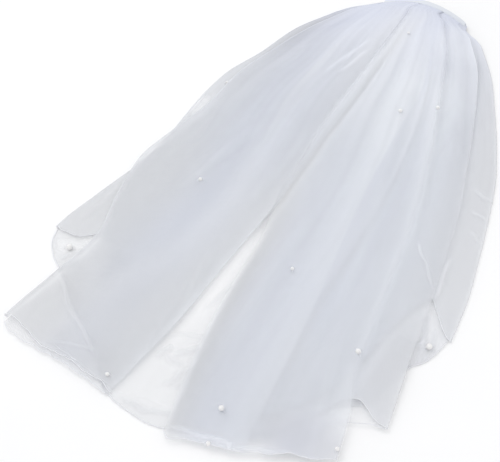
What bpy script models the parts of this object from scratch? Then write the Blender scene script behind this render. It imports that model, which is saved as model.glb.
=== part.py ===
"""Elbow-length bridal veil of soft tulle, gathered onto a curved comb and laid out on a table.

Lengths are metres. The comb's chord lies along X, the cloth runs towards -Y, and +Z is up.
One sheet of tulle is folded on itself. From the table upwards it lies as the back, the two
inner plies, the two under plies, the two middle plies, a pleat, and the two front lobes,
which part over the back in a long V.
"""

import math

import bmesh
import bpy
import numpy as np

# Cloth
WALL = 0.0010
PLY_GAP = 0.0009
PLY_STEP = WALL + PLY_GAP
EDGE_GAP = 0.0008
SEAM_GAP = 0.0025
COLUMN_PITCH = 0.0085
UPPER_ROWS = 9
LOWER_ROWS = 6
UPPER_END = 0.45

# Comb and heading
COMB_WIDTH = 0.104
COMB_RISE = 0.015
BOW_WIDTH = 0.110
SPINE_DEPTH = 0.007
SPINE_HEIGHT = 0.0026
COMB_FORWARD = 0.0025
TEETH = 22
TOOTH_WIDTH = 0.0021
TOOTH_LENGTH = 0.036
TOOTH_TIP = 0.55
TOOTH_STEPS = 3
SEAT_GAP = 0.00035
CLEARANCE = SPINE_HEIGHT + SEAT_GAP
HEADING_LENGTH = 0.045
HEADING_THICKNESS = 0.0045
LEVEL_PART = 0.16
GATHERS = 20
GATHER_HEIGHT = 0.0012
GATHER_FADE = 0.45
COLUMNS_PER_GATHER = 4
HEADING_LEVELS = 5
HEADING_ROUNDING = 0.45
HEADING_ROWS = (0.0, LEVEL_PART, 0.40, 0.70, 1.0)
RIBBON_OVERHANG = 0.002
RIBBON_FRONT = 0.0070
RIBBON_STEPS = 26

# The comb lies askew. At these places to the side it draws the cloth this far forward, which
# dies away between two distances from the comb.
ASKEW_SIDES = (-0.075, -0.054, 0.056, 0.086)
ASKEW_SHIFTS = (0.0, 0.0014, 0.0108, 0.0)
ASKEW_FADES = (0.004, 0.050)
ASKEW_ROUNDS = 12

# How the height of the comb's arch dies away over the cloth
ARCH_REACH = 0.115
ARCH_SPREAD = 0.42
PLATEAU_EDGE = 0.018

# Fold lines of the sheet, seen from above: a row for each distance from the comb, and for
# each line its place to the side of the comb's middle.
FOLD_COLUMNS = (
    "drop", "back_left", "lobe_left", "pleat_left", "v_left",
    "v_right", "pleat_right", "lobe_right", "under_right", "back_right",
)
FOLD_LINES = (
    (0.045, -0.107, -0.093, -0.052, -0.008, -0.012, 0.016, 0.037, 0.069, 0.084),
    (0.100, -0.140, -0.124, -0.074, -0.011, -0.016, 0.036, 0.057, 0.094, 0.111),
    (0.160, -0.159, -0.146, -0.085, -0.016, -0.022, 0.049, 0.070, 0.109, 0.131),
    (0.220, -0.182, -0.165, -0.090, -0.021, -0.028, 0.057, 0.083, 0.121, 0.149),
    (0.280, -0.190, -0.172, -0.093, -0.027, -0.035, 0.061, 0.094, 0.131, 0.163),
    (0.340, -0.192, -0.188, -0.090, -0.030, -0.036, 0.062, 0.103, 0.141, 0.171),
    (0.400, -0.201, -0.201, -0.090, -0.034, -0.035, 0.060, 0.110, 0.146, 0.177),
    (0.460, -0.218, -0.196, -0.099, -0.040, -0.034, 0.056, 0.113, 0.150, 0.181),
    (0.520, -0.233, -0.186, -0.118, -0.048, -0.033, 0.051, 0.116, 0.152, 0.180),
    (0.580, -0.236, -0.196, -0.146, -0.055, -0.030, 0.052, 0.119, 0.155, 0.176),
    (0.640, -0.236, -0.210, -0.160, -0.066, -0.023, 0.052, 0.125, 0.158, 0.172),
    (0.710, -0.236, -0.220, -0.164, -0.080, -0.009, 0.053, 0.129, 0.158, 0.170),
)

# Hems, seen from above: for each place to the side, the distance from the comb.
HEMS = {
    "back": (
        (-0.233, 0.519), (-0.230, 0.535), (-0.223, 0.549), (-0.208, 0.566), (-0.189, 0.583),
        (-0.159, 0.611), (-0.120, 0.645), (-0.087, 0.683), (-0.060, 0.695), (-0.040, 0.699),
        (-0.018, 0.698), (0.003, 0.691), (0.030, 0.687), (0.060, 0.672), (0.090, 0.640),
        (0.112, 0.616), (0.130, 0.606), (0.141, 0.589), (0.148, 0.567), (0.156, 0.551),
        (0.168, 0.537), (0.174, 0.524), (0.179, 0.508), (0.182, 0.494),
    ),
    "inner_left": (
        (-0.236, 0.519), (-0.218, 0.525), (-0.205, 0.524), (-0.186, 0.514), (-0.165, 0.530),
        (-0.140, 0.575), (-0.100, 0.640),
    ),
    "inner_right": (
        (0.030, 0.672), (0.080, 0.630), (0.110, 0.570), (0.130, 0.500), (0.149, 0.464),
        (0.157, 0.475), (0.164, 0.486), (0.171, 0.497), (0.178, 0.505), (0.185, 0.507),
    ),
    "under_left": (
        (-0.220, 0.650), (-0.206, 0.660), (-0.189, 0.665), (-0.166, 0.669), (-0.141, 0.673),
        (-0.102, 0.682), (-0.070, 0.692),
    ),
    "middle_left": ((-0.170, 0.657), (-0.140, 0.664), (-0.100, 0.676), (-0.060, 0.684)),
    "front_left": (
        (-0.222, 0.650), (-0.208, 0.649), (-0.198, 0.652), (-0.189, 0.657), (-0.177, 0.663),
        (-0.166, 0.667), (-0.148, 0.670), (-0.130, 0.672), (-0.112, 0.679), (-0.098, 0.679),
        (-0.080, 0.689), (-0.060, 0.694),
    ),
    "under_right": (
        (-0.020, 0.688), (0.010, 0.688), (0.032, 0.686), (0.043, 0.692), (0.055, 0.682),
        (0.072, 0.676), (0.095, 0.676), (0.108, 0.646), (0.120, 0.634), (0.135, 0.629),
        (0.148, 0.626), (0.160, 0.626),
    ),
    "middle_right": (
        (-0.015, 0.694), (0.030, 0.691), (0.060, 0.679), (0.090, 0.650), (0.112, 0.612),
        (0.125, 0.606), (0.135, 0.612), (0.145, 0.621), (0.160, 0.625),
    ),
    "pleat_right": ((-0.015, 0.707), (0.020, 0.704), (0.055, 0.699)),
    "front_right": (
        (-0.020, 0.705), (-0.010, 0.713), (0.006, 0.708), (0.020, 0.706), (0.035, 0.705),
        (0.049, 0.703), (0.064, 0.697), (0.077, 0.693), (0.092, 0.686), (0.104, 0.685),
        (0.130, 0.677),
    ),
}

# Soft pleats that run from the comb to the hem. Each is at these places to the side near the
# comb, half-way and at the hem, and has this height and half width half-way, and the distances
# from the comb where it starts to flatten and is flat.
PLEAT_COLUMNS = ("top", "half_way", "hem", "height", "half_width", "fades_from", "flat_at")
PLEATS = (
    (-0.076, -0.156, -0.176, 0.0031, 0.026, 0.40, 0.68),
    (-0.048, -0.116, -0.130, 0.0034, 0.028, 0.50, 0.80),
    (-0.022, -0.074, -0.088, 0.0040, 0.028, 0.30, 0.62),
    (-0.002, -0.004, 0.006, 0.0040, 0.025, 0.45, 0.80),
    (0.014, 0.042, 0.040, 0.0046, 0.026, 0.48, 0.85),
    (0.034, 0.084, 0.084, 0.0040, 0.025, 0.50, 0.80),
    (0.058, 0.126, 0.136, 0.0035, 0.024, 0.35, 0.62),
)
HALF_WAY = 0.35
FULL_LENGTH = 0.70
PLEATS_RISE = (0.03, 0.16)
PLEAT_NARROWEST = 0.45
PLEAT_WIDEST = 1.14

# The open folds at the outer edges of the front lobes stand a little proud.
PUFF_HEIGHT = 0.0022
PUFF_WIDTH = 0.026
PUFF_RISES = (0.08, 0.30)
ROLL_ANGLES = (-90, -45, 0, 45)

# Plies from the table up. A ply is a stretch of the sheet between two fold lines. Its level is
# its place in the stack. An edge with a number rolls down to the ply at that level.
PLY_COLUMNS = (
    "name", "level", "left", "right", "rolls_left_to", "rolls_right_to", "left_in", "right_in", "puff",
)
PLIES = (
    ("back", 0, "back_left", "back_right", None, None, 0.0025, 0.0025, ""),
    ("inner_left", 1, "back_left", "pleat_left", 0, None, 0.0012, 0.0, ""),
    ("inner_right", 1, "pleat_right", "back_right", None, 0, 0.0, 0.0012, ""),
    ("under_left", 2, "lobe_left", "v_left", None, None, 0.0045, 0.0040, ""),
    ("under_right", 2, "middle_seam", "under_right", None, None, 0.0, 0.0025, ""),
    ("middle_left", 3, "pleat_left", "v_left", None, None, 0.0, 0.0025, ""),
    ("middle_right", 3, "pleat_right", "under_right", None, 2, 0.0, 0.0012, ""),
    ("pleat_right", 4, "middle_seam", "pleat_right", None, None, 0.0, 0.0, ""),
    ("front_left", 4, "lobe_left", "v_left", 2, 3, 0.0030, 0.0012, "left"),
    ("front_right", 5, "v_right", "lobe_right", None, None, 0.0, 0.0, "right"),
)

# Edges of the heading, seen from above.
HEADING_COLUMNS = ("drop", "left", "right")
HEADING_EDGES = (
    (0.000, -0.056, 0.056),
    (0.014, -0.078, 0.058),
    (0.026, -0.092, 0.066),
    (0.036, -0.100, 0.076),
    (0.045, -0.107, 0.084),
)

# Section of the ribbon, from its front edge over the gathers and down behind the comb. Heights
# are lifts over the gathers, of which the ribbon stands on this share.
RIBBON_COLUMNS = ("outer_y", "outer_lift", "inner_y", "inner_lift", "share")
RIBBON_SECTION = (
    (-RIBBON_FRONT, 0.0008, -RIBBON_FRONT, 0.0003, 1.0),
    (-0.0058, 0.0014, -0.0058, 0.0002, 1.0),
    (-0.0030, 0.0016, -0.0030, 0.0000, 1.0),
    (0.0006, 0.0010, 0.0004, 0.0000, 1.0),
    (0.0021, -0.0008, 0.0012, -0.0012, 1.0),
    (0.0025, 0.0000, 0.0014, 0.0000, 0.3),
    (0.0025, -0.0022, 0.0014, -0.0022, 0.0),
)

TULLE = (0.86, 0.88, 0.93, 1.0)
RIBBON = (0.92, 0.93, 0.95, 1.0)
COMB_PLASTIC = (0.90, 0.91, 0.92, 1.0)


def clear_scene():
    for old in list(bpy.data.objects):
        bpy.data.objects.remove(old, do_unlink=True)


def material(name, colour, roughness):
    made = bpy.data.materials.new(name)
    made.use_nodes = True
    shader = made.node_tree.nodes["Principled BSDF"]
    shader.inputs["Base Color"].default_value = colour
    shader.inputs["Roughness"].default_value = roughness
    return made


def smooth_step(low, high, value):
    t = np.clip((value - low) / (high - low), 0.0, 1.0)
    return t * t * (3.0 - 2.0 * t)


def smooth_curve(stations, values, at):
    """Values read from a smooth curve through the stations that never swings past them."""
    stations = np.asarray(stations, float)
    values = np.asarray(values, float)
    steps = np.diff(stations)
    slopes = np.diff(values) / steps
    tangents = np.zeros_like(values)
    tangents[0], tangents[-1] = slopes[0], slopes[-1]
    for i in range(1, len(values) - 1):
        if slopes[i - 1] * slopes[i] > 0.0:
            tangents[i] = 2.0 * slopes[i - 1] * slopes[i] / (slopes[i - 1] + slopes[i])
    at = np.clip(at, stations[0], stations[-1])
    i = np.clip(np.searchsorted(stations, at, side="right") - 1, 0, len(steps) - 1)
    t = (at - stations[i]) / steps[i]
    start, end = values[i], values[i + 1]
    return (
        start * (1 + 2 * t) * (1 - t) ** 2
        + steps[i] * tangents[i] * t * (1 - t) ** 2
        + end * t * t * (3 - 2 * t)
        - steps[i] * tangents[i + 1] * t * t * (1 - t)
    )


FOLDS = {name: [row[i] for row in FOLD_LINES] for i, name in enumerate(FOLD_COLUMNS)}
DROPS = np.array(FOLDS["drop"])


def fold_line(name, drop):
    """A fold line's place to the side. The middle seam keeps clear of both sides of the V."""
    if name == "middle_seam":
        return np.maximum(fold_line("v_left", drop), fold_line("v_right", drop)) + SEAM_GAP
    return smooth_curve(FOLDS["drop"], FOLDS[name], drop)


def hem_drop(name, side):
    places, drops = zip(*HEMS[name])
    return smooth_curve(places, drops, side)


def arch_height(side, drop):
    """Height at which the comb carries the lowest ply."""
    drop = np.maximum(drop, 0.0)
    fade = np.exp(-((drop / ARCH_REACH) ** 2))
    half = BOW_WIDTH / 2.0 + ARCH_SPREAD * drop
    bow = COMB_RISE * np.maximum(0.0, 1.0 - (side / half) ** 2)
    plateau = CLEARANCE * (1.0 - smooth_step(half, half + PLATEAU_EDGE, np.abs(side)))
    return fade * (bow + plateau)


def drawn_forward(side, drop):
    """How far the askew comb draws the cloth forward at this place."""
    shift = np.interp(side, ASKEW_SIDES, ASKEW_SHIFTS)
    return shift * (1.0 - smooth_step(*ASKEW_FADES, drop))


def cloth_over(side, drop):
    """The place on the cloth, before it is drawn, that comes to lie over a place on the comb."""
    shift = np.interp(side, ASKEW_SIDES, ASKEW_SHIFTS)
    place = drop
    for _ in range(ASKEW_ROUNDS):
        place = drop + shift * smooth_step(*ASKEW_FADES, place)
    return place


def pleat_height(side, drop):
    """Height of the soft pleats, which every ply follows."""
    total = np.zeros_like(side + drop)
    stations = (HEADING_LENGTH, HALF_WAY, FULL_LENGTH)
    for row in PLEATS:
        pleat = dict(zip(PLEAT_COLUMNS, row))
        centre = smooth_curve(stations, [pleat["top"], pleat["half_way"], pleat["hem"]], drop)
        grown = PLEAT_NARROWEST + (1.0 - PLEAT_NARROWEST) * drop / HALF_WAY
        width = pleat["half_width"] * np.clip(grown, PLEAT_NARROWEST, PLEAT_WIDEST)
        across = np.clip((side - centre) / width, -1.0, 1.0)
        along = smooth_step(*PLEATS_RISE, drop)
        along = along * (1.0 - smooth_step(pleat["fades_from"], pleat["flat_at"], drop))
        total = total + pleat["height"] * along * np.cos(across * math.pi / 2.0) ** 2
    return total


def ply_height(level, side, drop):
    """Height of the middle of a ply's wall. Only the back ply's flat parts touch the table."""
    base = arch_height(side, drop) + pleat_height(side, drop)
    return base + WALL / 2.0 + level * PLY_STEP


def puff(ply, side, drop):
    """Extra height of a lobe near its open outer fold."""
    if not ply["puff"]:
        return np.zeros_like(side)
    edge = fold_line(ply[ply["puff"]], drop)
    near = 1.0 - np.clip(np.abs(side - edge) / PUFF_WIDTH, 0.0, 1.0)
    grows = smooth_step(*PUFF_RISES, drop)
    return PUFF_HEIGHT * grows * near * near * (3.0 - 2.0 * near)


def hem_at(ply, across):
    """Distance of the hem from the comb, for fractions across the ply."""
    drop = np.full_like(across, FULL_LENGTH)
    for _ in range(6):
        left = fold_line(ply["left"], drop)
        right = fold_line(ply["right"], drop)
        drop = hem_drop(ply["name"], left + (right - left) * across)
    return drop


def row_drops(hem):
    """Distances from the comb of each row. Down to UPPER_END every ply has the same rows."""
    start = HEADING_LENGTH + EDGE_GAP
    for drop in np.linspace(start, UPPER_END, UPPER_ROWS):
        yield np.full_like(hem, drop)
    for part in np.linspace(0.0, 1.0, LOWER_ROWS)[1:]:
        yield UPPER_END + part * (hem - UPPER_END)


def ply_points(ply):
    """Rows of points on the middle of a ply's wall, from the heading down to the hem."""
    widest = np.max(fold_line(ply["right"], DROPS) - fold_line(ply["left"], DROPS))
    columns = int(math.ceil(widest / COLUMN_PITCH)) + 1
    across = np.linspace(0.0, 1.0, columns)
    rows = []
    for drop in row_drops(hem_at(ply, across)):
        left = fold_line(ply["left"], drop) + ply["left_in"]
        right = fold_line(ply["right"], drop) - ply["right_in"]
        side = left + (right - left) * across
        height = ply_height(ply["level"], side, drop) + puff(ply, side, drop)
        row = list(zip(side, -drop, height))
        if ply["rolls_left_to"] is not None:
            row = roll(row[0], ply["rolls_left_to"], -ply["left_in"]) + row
        if ply["rolls_right_to"] is not None:
            row = row + roll(row[-1], ply["rolls_right_to"], ply["right_in"])[::-1]
        rows.append(row)
    return np.array(rows)


def roll(edge, lower_level, bulge):
    """Points round the fold from the ply below up to the edge of a ply, lowest first."""
    x, y, top = edge
    low = float(ply_height(lower_level, np.array(x), np.array(-y)))
    radius = (top - low) / 2.0
    points = []
    for angle in np.radians(ROLL_ANGLES):
        points.append((x + bulge * math.cos(angle), y, low + radius + radius * math.sin(angle)))
    return points


def grid_mesh(name, points):
    """An open sheet with a face between each pair of rows and columns, facing up."""
    rows, columns = points.shape[:2]
    mesh = bpy.data.meshes.new(name)
    faces = []
    for r in range(rows - 1):
        for c in range(columns - 1):
            corner = r * columns + c
            faces.append((corner, corner + columns, corner + columns + 1, corner + 1))
    mesh.from_pydata(points.reshape(-1, 3).tolist(), [], faces)
    mesh.update()
    return mesh


def add_object(name, mesh, finish):
    for vertex in mesh.vertices:
        vertex.co.y -= drawn_forward(vertex.co.x, -vertex.co.y)
    mesh.materials.append(finish)
    made = bpy.data.objects.new(name, mesh)
    bpy.context.scene.collection.objects.link(made)
    return made


def add_ply(row, finish):
    """One stretch of tulle, as a sheet that Solidify makes into a wall about its middle."""
    ply = dict(zip(PLY_COLUMNS, row))
    mesh = grid_mesh(ply["name"], ply_points(ply))
    mesh.shade_smooth()
    made = add_object("tulle_" + ply["name"], mesh, finish)
    wall = made.modifiers.new("wall", "SOLIDIFY")
    wall.thickness = WALL
    wall.offset = 0.0
    wall.use_even_offset = True
    return made


def closed_mesh(name, top, bottom):
    """A closed solid between two grids of the same size."""
    rows, columns = top.shape[:2]
    mesh = bpy.data.meshes.new(name)
    bm = bmesh.new()
    grids = []
    for points in (top, bottom):
        grids.append([[bm.verts.new(p) for p in row] for row in points])
    for upper, grid in zip((True, False), grids):
        for r in range(rows - 1):
            for c in range(columns - 1):
                face = (grid[r][c], grid[r + 1][c], grid[r + 1][c + 1], grid[r][c + 1])
                bm.faces.new(face if upper else face[::-1])
    border = [(0, c) for c in range(columns)]
    border += [(r, columns - 1) for r in range(1, rows)]
    border += [(rows - 1, c) for c in range(columns - 2, -1, -1)]
    border += [(r, 0) for r in range(rows - 2, 0, -1)]
    for (r0, c0), (r1, c1) in zip(border, border[1:] + border[:1]):
        bm.faces.new((grids[0][r0][c0], grids[0][r1][c1], grids[1][r1][c1], grids[1][r0][c0]))
    bmesh.ops.recalc_face_normals(bm, faces=bm.faces)
    bm.to_mesh(mesh)
    bm.free()
    return mesh


def heading_edges(drop):
    edges = {name: [row[i] for row in HEADING_EDGES] for i, name in enumerate(HEADING_COLUMNS)}
    left = smooth_curve(edges["drop"], edges["left"], drop)
    return left, smooth_curve(edges["drop"], edges["right"], drop)


def heading_thickness(across, part):
    """Thickness of the heading without its gathers, and how round it is, across and down it."""
    rounded = np.sin(math.pi * across).clip(0.0) ** HEADING_ROUNDING
    stack = HEADING_LEVELS * PLY_STEP + WALL
    grown = max(0.0, part - LEVEL_PART) / (1.0 - LEVEL_PART)
    full = HEADING_THICKNESS + (stack - HEADING_THICKNESS) * grown
    return WALL + (full - WALL) * rounded, rounded


def add_heading(finish):
    """The gathered top of the sheet, whose hidden plies are one rounded solid."""
    across = np.linspace(0.0, 1.0, GATHERS * COLUMNS_PER_GATHER + 1)
    wave = 0.5 - 0.5 * np.cos(across * GATHERS * 2.0 * math.pi)
    top, bottom = [], []
    for part in HEADING_ROWS:
        left, right = heading_edges(HEADING_LENGTH * part)
        side = left + (right - left) * across
        y = np.full_like(side, -HEADING_LENGTH * part)
        low = arch_height(side, -y)
        thick, rounded = heading_thickness(across, part)
        thick = thick + GATHER_HEIGHT * wave * rounded * (1.0 - GATHER_FADE * part)
        top.append(np.stack([side, y, low + thick], axis=-1))
        bottom.append(np.stack([side, y, low], axis=-1))
    mesh = closed_mesh("gathered_heading", np.array(top), np.array(bottom))
    return add_object("gathered_heading", mesh, finish)


def comb_corner(bm, side, drop, depth):
    """A corner of the comb, at this depth below the cloth that it carries."""
    place = cloth_over(side, drop)
    cloth = float(arch_height(np.array(side), np.array(place)))
    return bm.verts.new((side, -place, cloth - SEAT_GAP - depth))


def add_comb(finish):
    """A bowed plastic comb under the heading. Its teeth bend down with the cloth."""
    bm = bmesh.new()
    reach = (COMB_WIDTH - TOOTH_WIDTH) / 2
    middles = np.linspace(-reach, reach, TEETH)
    rear, front = COMB_FORWARD - SPINE_DEPTH / 2, COMB_FORWARD + SPINE_DEPTH / 2
    corners = ((rear, 0.0), (rear, SPINE_HEIGHT), (front, SPINE_HEIGHT), (front, 0.0))
    spine = []
    for middle in middles:
        for side in (middle - TOOTH_WIDTH / 2, middle + TOOTH_WIDTH / 2):
            spine.append([comb_corner(bm, side, drop, depth) for drop, depth in corners])
    for i, (one, other) in enumerate(zip(spine, spine[1:])):
        has_tooth = i % 2 == 0
        for k in (0, 1, 3) if has_tooth else (0, 1, 2, 3):
            bm.faces.new((one[k], one[(k + 1) % 4], other[(k + 1) % 4], other[k]))
    bm.faces.new(spine[0])
    bm.faces.new(spine[-1])
    for i, middle in enumerate(middles):
        one, other = spine[2 * i], spine[2 * i + 1]
        ring = [one[3], other[3], other[2], one[2]]
        for step in range(1, TOOTH_STEPS + 1):
            part = step / TOOTH_STEPS
            narrow = 1.0 - (1.0 - TOOTH_TIP) * part
            drop = front + TOOTH_LENGTH * part
            left = middle - narrow * TOOTH_WIDTH / 2
            right = middle + narrow * TOOTH_WIDTH / 2
            under = SPINE_HEIGHT * narrow
            places = ((left, 0.0), (right, 0.0), (right, under), (left, under))
            following = [comb_corner(bm, side, drop, depth) for side, depth in places]
            for k in range(4):
                after = (k + 1) % 4
                bm.faces.new((ring[k], following[k], following[after], ring[after]))
            ring = following
        bm.faces.new(ring)
    bmesh.ops.recalc_face_normals(bm, faces=bm.faces)
    mesh = bpy.data.meshes.new("comb")
    bm.to_mesh(mesh)
    bm.free()
    return add_object("comb", mesh, finish)


def ribbon_seat(side):
    """Height that clears the heading's gathers, at the ribbon's front and rear edges."""
    over = 0.0
    for drop in (0.0, RIBBON_FRONT):
        left, right = heading_edges(drop)
        thick, rounded = heading_thickness((side - left) / (right - left), drop / HEADING_LENGTH)
        low = arch_height(np.array(side), np.array(drop))
        over = max(over, float(low + thick + GATHER_HEIGHT * rounded))
    return over + SEAT_GAP


def add_ribbon(finish):
    """The ribbon that binds the gathered edge to the comb."""
    half = COMB_WIDTH / 2.0 + RIBBON_OVERHANG
    outer, inner = [], []
    for side in np.linspace(-half, half, RIBBON_STEPS + 1):
        comb_top = float(arch_height(np.array(side), np.array(0.0)))
        seat = ribbon_seat(side)
        for row in RIBBON_SECTION:
            edge = dict(zip(RIBBON_COLUMNS, row))
            base = comb_top + edge["share"] * (seat - comb_top)
            outer.append((side, edge["outer_y"], base + edge["outer_lift"]))
            inner.append((side, edge["inner_y"], base + edge["inner_lift"]))
    shape = (RIBBON_STEPS + 1, len(RIBBON_SECTION), 3)
    mesh = closed_mesh("comb_ribbon", np.reshape(outer, shape), np.reshape(inner, shape))
    return add_object("comb_ribbon", mesh, finish)


def stand_on_origin(objects):
    """Moves the whole veil so that the middle of its box's underside is at the origin."""
    bpy.context.view_layer.update()
    graph = bpy.context.evaluated_depsgraph_get()
    corners = []
    for made in objects:
        mesh = made.evaluated_get(graph).to_mesh()
        points = np.empty(len(mesh.vertices) * 3)
        mesh.vertices.foreach_get("co", points)
        corners.append(points.reshape(-1, 3))
        made.evaluated_get(graph).to_mesh_clear()
    corners = np.concatenate(corners)
    low, high = corners.min(axis=0), corners.max(axis=0)
    for made in objects:
        made.location = (-(low[0] + high[0]) / 2, -(low[1] + high[1]) / 2, -low[2])


def main():
    clear_scene()
    tulle = material("tulle", TULLE, 0.75)
    ribbon = material("ribbon", RIBBON, 0.45)
    plastic = material("comb_plastic", COMB_PLASTIC, 0.25)
    objects = [add_ply(row, tulle) for row in PLIES]
    objects.append(add_heading(tulle))
    objects.append(add_ribbon(ribbon))
    objects.append(add_comb(plastic))
    stand_on_origin(objects)


main()
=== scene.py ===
"""Elbow-length bridal veil of soft tulle, gathered onto a curved comb and laid out on a table.

Places are worked out in the comb's own coordinates: its chord lies along X, the cloth runs
towards -Y, and "drop" is the distance from the comb. The comb's box moves them to the frame.
"""

import math

import bmesh
import bpy
import numpy as np
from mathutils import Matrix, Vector


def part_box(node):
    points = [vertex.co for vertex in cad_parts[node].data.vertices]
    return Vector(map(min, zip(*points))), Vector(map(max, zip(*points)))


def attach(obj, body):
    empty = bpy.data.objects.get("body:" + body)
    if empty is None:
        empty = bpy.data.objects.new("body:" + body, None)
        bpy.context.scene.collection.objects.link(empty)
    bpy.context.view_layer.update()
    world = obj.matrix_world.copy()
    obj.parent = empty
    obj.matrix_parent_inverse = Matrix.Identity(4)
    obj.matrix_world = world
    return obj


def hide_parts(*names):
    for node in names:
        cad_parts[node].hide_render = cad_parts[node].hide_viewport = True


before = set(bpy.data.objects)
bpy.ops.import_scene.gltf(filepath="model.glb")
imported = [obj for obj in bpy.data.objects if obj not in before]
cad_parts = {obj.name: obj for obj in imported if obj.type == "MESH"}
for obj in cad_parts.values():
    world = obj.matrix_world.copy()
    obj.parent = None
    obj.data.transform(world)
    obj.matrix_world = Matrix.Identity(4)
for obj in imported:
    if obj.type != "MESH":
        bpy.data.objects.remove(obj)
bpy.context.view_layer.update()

# Cloth
WALL = 0.0010
PLY_STEP = 0.0019
SEAM_GAP = 0.0025
GRID_PITCH = 0.0019
UPPER_END = 0.45

# Comb and heading
COMB_WIDTH = 0.104
COMB_RISE = 0.015
BOW_WIDTH = 0.110
SPINE_DEPTH = 0.007
SPINE_HEIGHT = 0.0026
COMB_FORWARD = 0.0025
SEAT_GAP = 0.00035
CLEARANCE = SPINE_HEIGHT + SEAT_GAP
HEADING_LENGTH = 0.045
GATHER_HEIGHT = 0.0012
GATHER_SHOWS = 0.60
GATHERS = 27
COMB_PLY_STEP = 0.00050
TOP_SHARES = (0.0, 0.05, 0.09, 0.50, 0.53, 0.725, 0.76, 0.90, 0.925, 1.0)
TOP_LEVELS = (1.0, 1.0, 4.0, 4.0, 5.0, 5.0, 3.0, 3.0, 1.0, 1.0)
HEADING_ROUNDING = 0.45
HEADING_LEVELS = 5
RIBBON_OVERHANG = 0.002
RIBBON_FRONT = 0.0070
RIBBON_PITCH = 0.0008
RIBBON_STEPS = 30

# The comb lies askew. At these places to the side it draws the cloth this far forward, which
# dies away between two distances from the comb.
ASKEW_SIDES = (-0.075, -0.054, 0.056, 0.086)
ASKEW_SHIFTS = (0.0, 0.0014, 0.0108, 0.0)
ASKEW_FADES = (0.004, 0.050)

# Beside the V the plies lie closer together
V_OPENS = (0.40, 0.48)
V_REACH = 0.018
V_CLOSENESS = 0.45
# The plies also settle towards each other at their lower ends, and the hems draw in by as much.
SETTLES = (0.57, 0.67)
SETTLED = 0.55
SETTLED_DRAW = 0.917

# The direction that the photograph was taken from
AZIMUTH = math.radians(23.54)
ELEVATION = math.radians(45.0)

# How the height of the comb's arch dies away over the cloth
ARCH_REACH = 0.115
ARCH_SPREAD = 0.42
PLATEAU_EDGE = 0.018

FOLD_COLUMNS = (
    "drop", "back_left", "lobe_left", "pleat_left", "v_left",
    "v_right", "pleat_right", "lobe_right", "under_right", "back_right",
)
FOLD_LINES = (
    (0.045, -0.107, -0.093, -0.052, -0.008, -0.016, 0.016, 0.037, 0.069, 0.084),
    (0.100, -0.140, -0.124, -0.074, -0.011, -0.024, 0.036, 0.057, 0.094, 0.111),
    (0.160, -0.159, -0.146, -0.085, -0.016, -0.033, 0.049, 0.070, 0.109, 0.131),
    (0.220, -0.182, -0.165, -0.090, -0.021, -0.040, 0.057, 0.083, 0.121, 0.149),
    (0.280, -0.190, -0.172, -0.093, -0.027, -0.046, 0.061, 0.094, 0.131, 0.163),
    (0.340, -0.192, -0.188, -0.090, -0.030, -0.046, 0.062, 0.103, 0.141, 0.171),
    (0.400, -0.201, -0.201, -0.090, -0.034, -0.039, 0.060, 0.110, 0.146, 0.177),
    (0.460, -0.218, -0.196, -0.099, -0.043, -0.034, 0.056, 0.113, 0.150, 0.181),
    (0.520, -0.233, -0.186, -0.118, -0.051, -0.035, 0.051, 0.116, 0.152, 0.180),
    (0.580, -0.236, -0.198, -0.146, -0.058, -0.034, 0.052, 0.119, 0.155, 0.176),
    (0.640, -0.236, -0.214, -0.160, -0.070, -0.029, 0.052, 0.126, 0.158, 0.172),
    (0.710, -0.236, -0.226, -0.164, -0.085, -0.018, 0.053, 0.132, 0.158, 0.170),
)
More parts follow.
